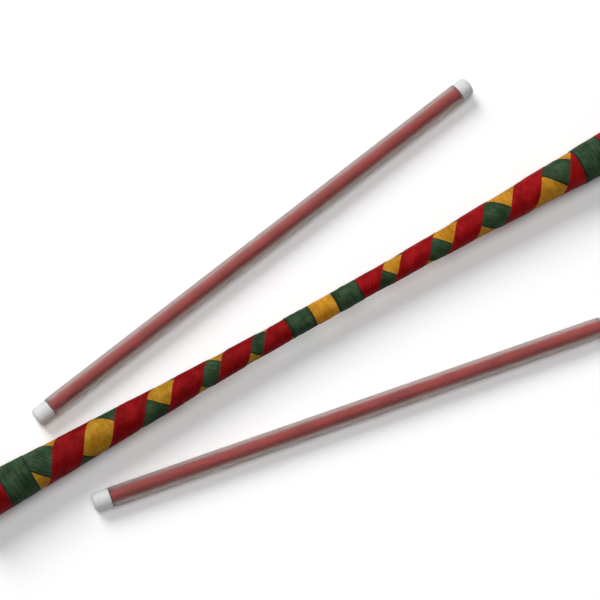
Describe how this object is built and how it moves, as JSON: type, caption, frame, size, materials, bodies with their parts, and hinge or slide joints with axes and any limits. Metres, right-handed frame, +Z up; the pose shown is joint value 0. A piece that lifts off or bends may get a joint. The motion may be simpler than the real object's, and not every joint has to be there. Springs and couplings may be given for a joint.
{
  "type": "devil stick",
  "caption": "Waisted juggling stick wrapped in spiral cloth tape, with a pair of silicone-sleeved hand sticks that knock it to and fro.",
  "frame": {"origin": "on the axis of the centre stick, at its balance point in the middle of the centre band", "axes": "+X along the centre stick towards its front end, +Y to its left, +Z up from the floor that the three sticks lie on"},
  "size_m": [0.66, 0.2442, 0.038],
  "materials": {
    "turned_wood": "plain turned hardwood",
    "yellow_tape": "woven cloth tape",
    "green_tape": "woven cloth tape",
    "red_tape": "woven cloth tape",
    "bumper_rubber": "moulded rubber",
    "painted_dowel": "red stained wood",
    "clear_silicone": "frosted clear silicone",
    "white_cap": "satin moulded plastic"
  },
  "bodies": {
    "centre_stick": {"core": "turned_wood", "yellow_wrap": "yellow_tape", "green_tape": "green_tape", "red_tape": "red_tape", "centre_band": "yellow_tape", "rear_inner_band": "green_tape", "front_inner_band": "green_tape", "rear_wide_band": "green_tape", "front_wide_band": "green_tape", "rear_end_band": "red_tape", "front_end_band": "red_tape", "rear_bumper": "bumper_rubber", "front_bumper": "bumper_rubber"},
    "left_hand_stick": {"left_dowel": "painted_dowel", "left_sleeve": "clear_silicone", "left_butt_cap": "white_cap", "left_tip_cap": "white_cap"},
    "right_hand_stick": {"right_dowel": "painted_dowel", "right_sleeve": "clear_silicone", "right_butt_cap": "white_cap", "right_tip_cap": "white_cap"}
  },
  "joints": [
    {"name": "left_lift", "type": "slide", "parent": "centre_stick", "child": "left_hand_stick", "axis": [0, 0, 1], "range_m": [0, 0.12]},
    {"name": "right_lift", "type": "slide", "parent": "centre_stick", "child": "right_hand_stick", "axis": [0, 0, 1], "range_m": [0, 0.12]}
  ]
}
